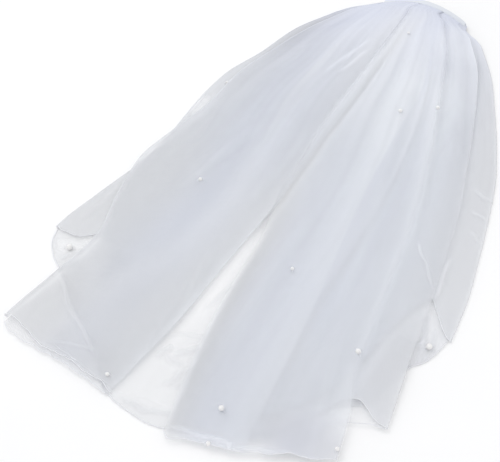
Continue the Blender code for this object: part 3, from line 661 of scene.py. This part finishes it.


# Bands of painted light and painted shade beside the folds, where the net's colour is made lighter
# or darker. A band follows a line, given by its place to the side at these distances from the comb,
# with its strength at each of them. It is crisp on one side of the line and dies away over its width
# on the other, or on both.
BAND_DROPS = (0.05, 0.11, 0.18, 0.25, 0.33, 0.41, 0.49, 0.57, 0.66)
PAINTED_SHADE_BANDS = (
    {
        "side": "left", "width": 0.036,
        "line": (0.018, 0.036, 0.045, 0.043, 0.043, 0.045, 0.049, 0.052, 0.050),
        "strength": (0.0, 0.10, 0.26, 0.34, 0.31, 0.22, 0.16, 0.13, 0.1),
    },
    {
        "side": "left", "width": 0.013,
        "line": (0.024, 0.046, 0.056, 0.060, 0.062, 0.060, 0.053, 0.052, 0.050),
        "strength": (0.0, 0.04, 0.10, 0.12, 0.09, 0.06, 0.0, 0.0, 0.0),
    },
    {
        "side": "left", "width": 0.013,
        "line": (0.037, 0.058, 0.074, 0.088, 0.101, 0.111, 0.114, 0.118, 0.126),
        "strength": (0.0, 0.12, 0.26, 0.33, 0.33, 0.28, 0.19, 0.1, 0.03),
    },
    {
        "side": "right", "width": 0.020,
        "line": (-0.045, -0.074, -0.086, -0.093, -0.088, -0.084, -0.09, -0.12, -0.15),
        "strength": (0.0, 0.12, 0.24, 0.16, 0.08, 0.03, 0.0, 0.0, 0.0),
    },
    {
        "side": "left", "width": 0.008,
        "line": (-0.011, -0.016, -0.023, -0.029, -0.035, -0.038, -0.049, -0.059, -0.075),
        "strength": (0.03, 0.14, 0.18, 0.14, 0.08, 0.10, 0.14, 0.16, 0.16),
    },
    {
        "side": "right", "width": 0.014,
        "line": (-0.012, -0.016, -0.022, -0.030, -0.036, -0.036, -0.034, -0.030, -0.020),
        "strength": (0.0, 0.0, 0.0, 0.0, -0.05, -0.20, -0.26, -0.20, -0.14),
    },
    {
        "side": "right", "width": 0.014,
        "line": (0.037, 0.058, 0.074, 0.088, 0.101, 0.111, 0.114, 0.118, 0.126),
        "strength": (0.0, 0.08, 0.24, 0.26, 0.16, 0.06, 0.0, 0.0, 0.0),
    },
    {
        "side": "left", "width": 0.034,
        "line": (0.086, 0.115, 0.138, 0.157, 0.170, 0.178, 0.181, 0.178, 0.172),
        "strength": (-0.04, -0.18, -0.26, -0.26, -0.18, -0.16, -0.10, 0.0, 0.0),
    },
    {
        "side": "both", "width": 0.036,
        "line": (-0.090, -0.122, -0.150, -0.170, -0.180, -0.190, -0.200, -0.210, -0.220),
        "strength": (-0.50, -0.42, -0.12, 0.0, 0.0, 0.0, 0.0, 0.0, 0.0),
    },
    {
        "side": "both", "width": 0.055,
        "line": (0.060, 0.060, 0.070, 0.080, 0.090, 0.095, 0.095, 0.095, 0.095),
        "strength": (0.0, 0.0, 0.03, 0.07, 0.12, 0.16, 0.19, 0.19, 0.15),
    },
)
BAND_EDGE = 0.0012
PLAIN_COOLNESS = 0.12

# Places where painted shade or painted light makes the net greyer or whiter: the middle, the half extents and
# the change.
PAINTED_SHADE_COLUMNS = ("x", "y", "half_x", "half_y", "change")
PAINTED_SHADE_PLACES = (
    (0.106, -0.672, 0.046, 0.036, -0.60),
    (0.146, -0.576, 0.028, 0.068, -0.26),
    (-0.156, -0.572, 0.050, 0.044, -0.10),
    (0.062, -0.060, 0.030, 0.040, 0.30),
    (0.088, -0.135, 0.026, 0.080, 0.18),
    (-0.200, -0.625, 0.048, 0.052, -0.22),
    (-0.136, -0.656, 0.044, 0.022, -0.14),
    (-0.212, -0.480, 0.026, 0.060, -0.12),
)
# Painted light and shade in the net's colour: its plain level, darker by the comb, and a lighter patch of
# painted light below the comb.
PLAIN_PAINTED_SHADING = 0.51
COMB_DARKENING = -0.56
HIGH_LIGHTENING = 0.34
LEFT_LOBE_MIDDLE = (-0.060, -0.076, -0.088, -0.092, -0.094, -0.100, -0.112, -0.128, -0.135)


def painted_shading_of(points):
    """Painted light and shade in the net's colour, from 0 to 1: darker by the comb, and painted lighter or
    darker along the bands.
    """
    side, drop = points[..., 0], -points[..., 1]
    total = PLAIN_PAINTED_SHADING + COMB_DARKENING * np.exp(-((drop / 0.085) ** 2))
    high = np.exp(-(((drop - 0.195) / 0.085) ** 2)) * np.exp(-(((side - 0.024) / 0.068) ** 2))
    total = total + HIGH_LIGHTENING * high
    for band in PAINTED_SHADE_BANDS:
        off = side - smooth_curve(BAND_DROPS, band["line"], drop)
        width = band["width"] * (0.5 + 0.6 * np.clip(drop / HALF_WAY, 0.0, 1.0))
        shade = np.exp(-((off / width) ** 2))
        if band["side"] == "left":
            shade = shade * (1.0 - smooth_step(-BAND_EDGE, BAND_EDGE, off))
        if band["side"] == "right":
            shade = shade * smooth_step(-BAND_EDGE, BAND_EDGE, off)
        total = total + smooth_curve(BAND_DROPS, band["strength"], drop) * shade
    for row in PAINTED_SHADE_PLACES:
        place = dict(zip(PAINTED_SHADE_COLUMNS, row))
        total = total + place["change"] * near_place(place, side, drop)
    share = share_across(side, drop)
    total = total + 0.08 * uneven(share * 43.0, 4.0) * np.exp(-((drop / 0.20) ** 2))
    return np.clip(total, 0.0, 1.0)


def coolness_of(ply, points):
    """How blue the net looks: least in the V's single ply, most by the comb and in the lobes."""
    side, drop = points[..., 0], -points[..., 1]
    if ply["level"] == 0:
        return 0.35 * smooth_step(0.02, 0.12, side)
    left_middle = smooth_curve(BAND_DROPS, LEFT_LOBE_MIDDLE, drop)
    width = 0.036 + 0.028 * (1.0 - smooth_step(0.28, 0.42, drop))
    left = np.exp(-(((side - left_middle) / width) ** 2))
    left = left * (1.0 - 0.6 * smooth_step(0.46, 0.62, drop))
    inside = smooth_step(0.0, 0.035, side - fold_line("v_right", drop))
    right = np.exp(-(((side - 0.035) / 0.085) ** 2)) * inside
    greyer = 0.45 * np.exp(-(((side - 0.062) / 0.024) ** 2))
    right = right * (1.0 - greyer * smooth_step(0.50, 0.60, drop))
    near_comb = np.exp(-((drop / 0.09) ** 2))
    return PLAIN_COOLNESS + (1.0 - PLAIN_COOLNESS) * np.maximum(np.maximum(left, right), near_comb)


def cloth_object(name, points, values, material):
    rows, columns = points.shape[:2]
    mesh = bpy.data.meshes.new(name)
    corner = np.arange(rows * columns).reshape(rows, columns)
    faces = np.stack([corner[:-1, :-1], corner[1:, :-1], corner[1:, 1:], corner[:-1, 1:]], axis=-1)
    faces = faces.reshape(-1, 4)
    mesh.vertices.add(rows * columns)
    placed = drawn(points) + np.array(COMB_PLACE)
    mesh.vertices.foreach_set("co", placed.reshape(-1))
    mesh.loops.add(len(faces) * 4)
    mesh.loops.foreach_set("vertex_index", faces.reshape(-1))
    mesh.polygons.add(len(faces))
    mesh.polygons.foreach_set("loop_start", np.arange(0, len(faces) * 4, 4))
    mesh.update(calc_edges=True)
    lengths = np.linalg.norm(np.diff(points, axis=1), axis=-1)
    along = np.concatenate([np.zeros((rows, 1)), np.cumsum(lengths, axis=1)], axis=1)
    flat = np.stack([along, -points[..., 1]], axis=-1).reshape(-1, 2)
    layer = mesh.uv_layers.new(name="cloth")
    layer.data.foreach_set("uv", flat[faces.reshape(-1)].reshape(-1))
    for value_name, value in values.items():
        attribute = mesh.attributes.new(value_name, "FLOAT", "POINT")
        attribute.data.foreach_set("value", value.reshape(-1))
    mesh.shade_smooth()
    mesh.materials.append(material)
    made = bpy.data.objects.new(name, mesh)
    bpy.context.scene.collection.objects.link(made)
    return made


def sweep(name, rings, material):
    """A closed solid through rows of rings, in comb coordinates."""
    rows, sides = rings.shape[:2]
    corner = np.arange(rows * sides).reshape(rows, sides)
    after = np.roll(corner, -1, axis=1)
    faces = np.stack([corner[:-1], after[:-1], after[1:], corner[1:]], axis=-1).reshape(-1, 4)
    faces = faces.tolist() + [corner[0][::-1].tolist(), corner[-1].tolist()]
    mesh = bpy.data.meshes.new(name)
    mesh.from_pydata((drawn(rings.reshape(-1, 3)) + np.array(COMB_PLACE)).tolist(), [], faces)
    mesh.shade_smooth()
    mesh.materials.append(material)
    made = bpy.data.objects.new(name, mesh)
    bpy.context.scene.collection.objects.link(made)
    return made


def tube_rings(path, radius, sides):
    path = np.asarray(path, float)
    ahead = np.gradient(path, axis=0)
    ahead /= np.linalg.norm(ahead, axis=1, keepdims=True)
    level = np.cross(ahead, (0.0, 0.0, 1.0))
    level /= np.linalg.norm(level, axis=1, keepdims=True)
    over = np.cross(level, ahead)
    angles = np.linspace(0.0, 2.0 * math.pi, sides, endpoint=False)
    ring = np.cos(angles)[None, :, None] * level[:, None] + np.sin(angles)[None, :, None] * over[:, None]
    return path[:, None] + radius * ring


def tube(name, path, radius, sides, material):
    """A closed tube along a path, in comb coordinates."""
    return sweep(name, tube_rings(path, radius, sides), material)


def ribbon_seat(side):
    """Height at which the ribbon lies on the gathers, at its front and rear edges."""
    over = 0.0
    for drop in (0.0, RIBBON_FRONT):
        left = smooth_curve(HEADING["drop"], HEADING["left"], drop)
        right = smooth_curve(HEADING["drop"], HEADING["right"], drop)
        rounded = max(0.0, math.sin(math.pi * (side - left) / (right - left))) ** HEADING_ROUNDING
        low = float(arch_height(np.array(side), np.array(drop)))
        stack = HEADING_LEVELS * COMB_PLY_STEP + GATHER_SHOWS * GATHER_HEIGHT
        over = max(over, low + WALL / 2.0 + stack * rounded)
    return over + SEAT_GAP


def ribbon_rings():
    """Sections of the satin ribbon, with small puckers between its stitches."""
    half = COMB_WIDTH / 2.0 + RIBBON_OVERHANG
    stations = range(len(RIBBON_SECTION))
    at = np.linspace(0.0, len(RIBBON_SECTION) - 1.0, RIBBON_STEPS + 1)
    edge = {
        name: smooth_curve(stations, [row[i] for row in RIBBON_SECTION], at)
        for i, name in enumerate(RIBBON_COLUMNS)
    }
    rings = []
    for side in np.arange(-half, half + RIBBON_PITCH / 2.0, RIBBON_PITCH):
        comb_top = float(arch_height(np.array(side), np.array(0.0)))
        base = comb_top + edge["share"] * (ribbon_seat(side) - comb_top)
        pucker = 0.00012 * float(uneven(np.array(side / 0.0035), 21.0)) * np.sin(math.pi * at / at[-1])
        outer = np.stack([np.full_like(at, side), edge["outer_y"], base + edge["outer_lift"] + pucker], axis=-1)
        inner = np.stack([np.full_like(at, side), edge["inner_y"], base + edge["inner_lift"]], axis=-1)
        rings.append(np.concatenate([outer, inner[::-1]]))
    return np.array(rings)


def node(tree, kind, **values):
    made = tree.nodes.new(kind)
    for key, value in values.items():
        setattr(made, key, value)
    return made


def maths(tree, operation, first, second=None):
    made = node(tree, "ShaderNodeMath", operation=operation)
    for socket, value in zip(made.inputs, (first, second)):
        if value is None:
            continue
        if isinstance(value, (int, float)):
            socket.default_value = value
        else:
            tree.links.new(value, socket)
    return made.outputs[0]


NET_PITCH = 0.0012
NET_WANDER = 0.0008
HOLE_ALPHA = 0.100
THREAD_ALPHA = 0.29
THREAD_SHARE = 0.34
GREY = (0.690, 0.690, 0.692)
BLUE = (0.668, 0.695, 0.790)
# The pale tone that painted light draws the net's colour towards.
PAINTED_LIGHT_TONE = (0.925, 0.948, 0.99)


def colour_mix(tree, factor, first, second):
    """A colour between two, which are constants or sockets."""
    mix = node(tree, "ShaderNodeMix", data_type="RGBA")
    tree.links.new(factor, next(i for i in mix.inputs if i.name == "Factor" and i.type == "VALUE"))
    for name, value in (("A", first), ("B", second)):
        socket = next(i for i in mix.inputs if i.name == name and i.type == "RGBA")
        if isinstance(value, tuple):
            socket.default_value = (*value, 1.0)
        else:
            tree.links.new(value, socket)
    return next(o for o in mix.outputs if o.type == "RGBA")


def tulle_material():
    """Fine net: two sets of slanting threads, nearly clear between them, denser where it crowds."""
    made = bpy.data.materials.new("tulle_net")
    made.use_nodes = True
    tree = made.node_tree
    shader = tree.nodes["Principled BSDF"]
    cool = node(tree, "ShaderNodeAttribute", attribute_name="coolness")
    shading_attribute = node(tree, "ShaderNodeAttribute", attribute_name="painted_shading")
    shade = colour_mix(tree, cool.outputs["Fac"], GREY, BLUE)
    # Painted light and shade: the colour is drawn towards a pale tone where the attribute is high.
    painted_colour = colour_mix(tree, shading_attribute.outputs["Fac"], shade, PAINTED_LIGHT_TONE)
    tree.links.new(painted_colour, shader.inputs["Base Color"])
    shader.inputs["Roughness"].default_value = 0.75
    shader.inputs["Specular IOR Level"].default_value = 0.15
    uv = node(tree, "ShaderNodeUVMap", uv_map="cloth")
    wander = node(tree, "ShaderNodeTexNoise", noise_dimensions="2D")
    wander.inputs["Scale"].default_value = 170.0
    wander.inputs["Detail"].default_value = 1.0
    tree.links.new(uv.outputs["UV"], wander.inputs["Vector"])
    shift = node(tree, "ShaderNodeVectorMath", operation="SCALE")
    shift.inputs["Scale"].default_value = 2.0 * NET_WANDER
    tree.links.new(wander.outputs["Color"], shift.inputs[0])
    moved = node(tree, "ShaderNodeVectorMath", operation="ADD")
    tree.links.new(uv.outputs["UV"], moved.inputs[0])
    tree.links.new(shift.outputs[0], moved.inputs[1])
    split = node(tree, "ShaderNodeSeparateXYZ")
    tree.links.new(moved.outputs[0], split.inputs[0])
    threads = []
    for sign in (1.0, -1.0):
        slanted = maths(tree, "MULTIPLY", split.outputs["Y"], sign * 0.58)
        phase = maths(tree, "ADD", split.outputs["X"], slanted)
        phase = maths(tree, "MULTIPLY", phase, math.pi / NET_PITCH)
        wave = maths(tree, "ABSOLUTE", maths(tree, "SINE", phase))
        threads.append(maths(tree, "POWER", maths(tree, "SUBTRACT", 1.0, wave), 1.6))
    thread = maths(tree, "MAXIMUM", threads[0], threads[1])
    full = node(tree, "ShaderNodeAttribute", attribute_name="fullness")
    times = maths(tree, "MAXIMUM", full.outputs["Fac"], 1.0)
    calmer = maths(tree, "DIVIDE", maths(tree, "SUBTRACT", thread, THREAD_SHARE), times)
    single = maths(tree, "ADD", calmer, THREAD_SHARE)
    single = maths(tree, "MULTIPLY", single, THREAD_ALPHA - HOLE_ALPHA)
    single = maths(tree, "ADD", single, HOLE_ALPHA)
    clear = maths(tree, "SUBTRACT", 1.0, single)
    clear = maths(tree, "POWER", clear, full.outputs["Fac"])
    alpha = maths(tree, "SUBTRACT", 1.0, clear)
    tree.links.new(alpha, shader.inputs["Alpha"])
    bump = node(tree, "ShaderNodeBump")
    bump.inputs["Strength"].default_value = 0.15
    bump.inputs["Distance"].default_value = 0.0002
    tree.links.new(thread, bump.inputs["Height"])
    tree.links.new(bump.outputs["Normal"], shader.inputs["Normal"])
    return made


def plain_material(name, colour, roughness, noise_scale, noise_bump, **more):
    made = bpy.data.materials.new(name)
    made.use_nodes = True
    tree = made.node_tree
    shader = tree.nodes["Principled BSDF"]
    shader.inputs["Roughness"].default_value = roughness
    for key, value in more.items():
        shader.inputs[key].default_value = value
    place = node(tree, "ShaderNodeTexCoord")
    noise = node(tree, "ShaderNodeTexNoise")
    noise.inputs["Scale"].default_value = noise_scale
    tree.links.new(place.outputs["Object"], noise.inputs["Vector"])
    ramp = node(tree, "ShaderNodeValToRGB")
    ramp.color_ramp.elements[0].color = (*[c * 0.93 for c in colour], 1.0)
    ramp.color_ramp.elements[1].color = (*colour, 1.0)
    tree.links.new(noise.outputs["Fac"], ramp.inputs["Fac"])
    tree.links.new(ramp.outputs["Color"], shader.inputs["Base Color"])
    bump = node(tree, "ShaderNodeBump")
    bump.inputs["Strength"].default_value = noise_bump
    bump.inputs["Distance"].default_value = 0.0002
    tree.links.new(noise.outputs["Fac"], bump.inputs["Height"])
    tree.links.new(bump.outputs["Normal"], shader.inputs["Normal"])
    return made


tulle = tulle_material()
hem_material = plain_material("hem_thread", (0.82, 0.83, 0.86), 0.55, 900.0, 0.3)
pearl_material = plain_material(
    "pearl", (0.90, 0.89, 0.88), 0.18, 300.0, 0.02, **{"Coat Weight": 0.6, "Coat Roughness": 0.08}
)

plies = [dict(zip(PLY_COLUMNS, row)) for row in PLIES]
hems = {}
for ply in plies:
    grid, cover, hem = ply_grid(ply)
    values = {
        "fullness": fullness_of(ply, grid) * cover,
        # Painted light and shade of the net's colour
        "painted_shading": painted_shading_of(grid),
        "coolness": coolness_of(ply, grid),
    }
    shell = cloth_object("veil_" + ply["name"], grid, values, tulle)
    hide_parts("tulle_" + ply["name"])
    path = grid[-1] + np.array([0.0, 0.0, HEM_RISE])
    hems[ply["name"]] = tube("hem_" + ply["name"], path, HEM_RADIUS, CORD_SIDES, hem_material)
    hems[ply["name"]].parent = shell
    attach(shell, "root")

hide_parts("gathered_heading")


def seen_place(x, y, ply, above):
    """The place on a ply that covers this place on the table in the photograph's view."""
    side, drop, height = x, -y, 0.0
    for _ in range(6):
        height = float(surface(ply, np.array(side), np.array(drop), np.array(FULL_LENGTH + 0.1))) + above
        side = x + math.sin(AZIMUTH) * height
        drop = -y + math.cos(AZIMUTH) * height
    return np.array((side, -drop, height))


def add_pearls():
    """Pearls, each held by a thread that runs through it into the net on both sides."""
    bm = bmesh.new()
    threads = bmesh.new()
    for row in PEARLS:
        pearl = dict(zip(PEARL_COLUMNS, row))
        ply = next(p for p in plies if p["name"] == pearl["ply"])
        radius = pearl["diameter"] / 2.0
        middle = seen_place(pearl["x"], pearl["y"], ply, radius * 0.9)
        ball = bmesh.ops.create_uvsphere(bm, u_segments=24, v_segments=14, radius=radius)
        bmesh.ops.translate(bm, verts=ball["verts"], vec=Vector(middle) + COMB_PLACE)
        turn = 37.0 * len(bm.verts)
        along = np.array((math.cos(turn), math.sin(turn), 0.0))
        path = []
        for part in np.linspace(-1.0, 1.0, 17):
            place = middle + along * part * radius * 1.9
            place[2] += radius * (1.03 * max(0.0, 1.0 - (1.15 * abs(part)) ** 2) ** 0.5 - 0.75 * abs(part))
            path.append(place)
        rings = tube_rings(path, THREAD_RADIUS, CORD_SIDES) + np.array(COMB_PLACE)
        rows = [[threads.verts.new(point) for point in ring] for ring in rings]
        for one, other in zip(rows, rows[1:]):
            for k in range(CORD_SIDES):
                after = (k + 1) % CORD_SIDES
                threads.faces.new((one[k], one[after], other[after], other[k]))
        threads.faces.new(rows[0][::-1])
        threads.faces.new(rows[-1])
    trims = (("pearls", bm, pearl_material), ("pearl_threads", threads, hem_material))
    for name, made_of, material in trims:
        mesh = bpy.data.meshes.new(name)
        made_of.to_mesh(mesh)
        made_of.free()
        mesh.shade_smooth()
        mesh.materials.append(material)
        made = bpy.data.objects.new(name, mesh)
        bpy.context.scene.collection.objects.link(made)
        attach(made, "root")


add_pearls()

satin = plain_material("satin_ribbon", (0.74, 0.77, 0.82), 0.42, 700.0, 0.12)
ribbon = sweep("veil_ribbon", ribbon_rings(), satin)
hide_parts("comb_ribbon")
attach(ribbon, "root")

moulded = plain_material("moulded_plastic", (0.88, 0.89, 0.90), 0.22, 60.0, 0.05)
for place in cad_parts["comb"].material_slots:
    place.material = moulded

# Floor, lights and camera
floor_mesh = bpy.data.meshes.new("floor")
floor_mesh.from_pydata([(-6, -6, 0), (6, -6, 0), (6, 6, 0), (-6, 6, 0)], [], [(0, 1, 2, 3)])
floor_mesh.materials.append(plain_material("floor", (0.965, 0.965, 0.965), 0.9, 5.0, 0.0))
floor = bpy.data.objects.new("floor", floor_mesh)
bpy.context.scene.collection.objects.link(floor)

world = bpy.data.worlds.new("studio")
world.use_nodes = True
world.node_tree.nodes["Background"].inputs["Color"].default_value = (0.985, 0.988, 1.0, 1.0)
world.node_tree.nodes["Background"].inputs["Strength"].default_value = 0.95
bpy.context.scene.world = world

key = bpy.data.lights.new("key", "AREA")
key.shape = "DISK"
key.size = 1.6
key.energy = 9.0
key_object = bpy.data.objects.new("key", key)
key_object.location = Vector((-1.1, -0.2, 1.9)) + COMB_PLACE
key_object.rotation_euler = Vector((-1.1, 0.2, 1.9)).to_track_quat("Z", "Y").to_euler()
bpy.context.scene.collection.objects.link(key_object)

camera = bpy.data.cameras.new("camera")
camera.lens = 80.0
camera.sensor_width = 36.0
camera_object = bpy.data.objects.new("camera", camera)
camera_object.location = Vector((0.27096512, -1.18106142, 0.80181237)) + COMB_PLACE
away = Vector(
    (
        math.sin(AZIMUTH) * math.cos(ELEVATION),
        -math.cos(AZIMUTH) * math.cos(ELEVATION),
        math.sin(ELEVATION),
    )
)
camera_object.rotation_euler = away.to_track_quat("Z", "Y").to_euler()
bpy.context.scene.collection.objects.link(camera_object)
bpy.context.scene.camera = camera_object
bpy.context.scene.view_settings.view_transform = "Standard"
bpy.context.scene.cycles.transparent_max_bounces = 32
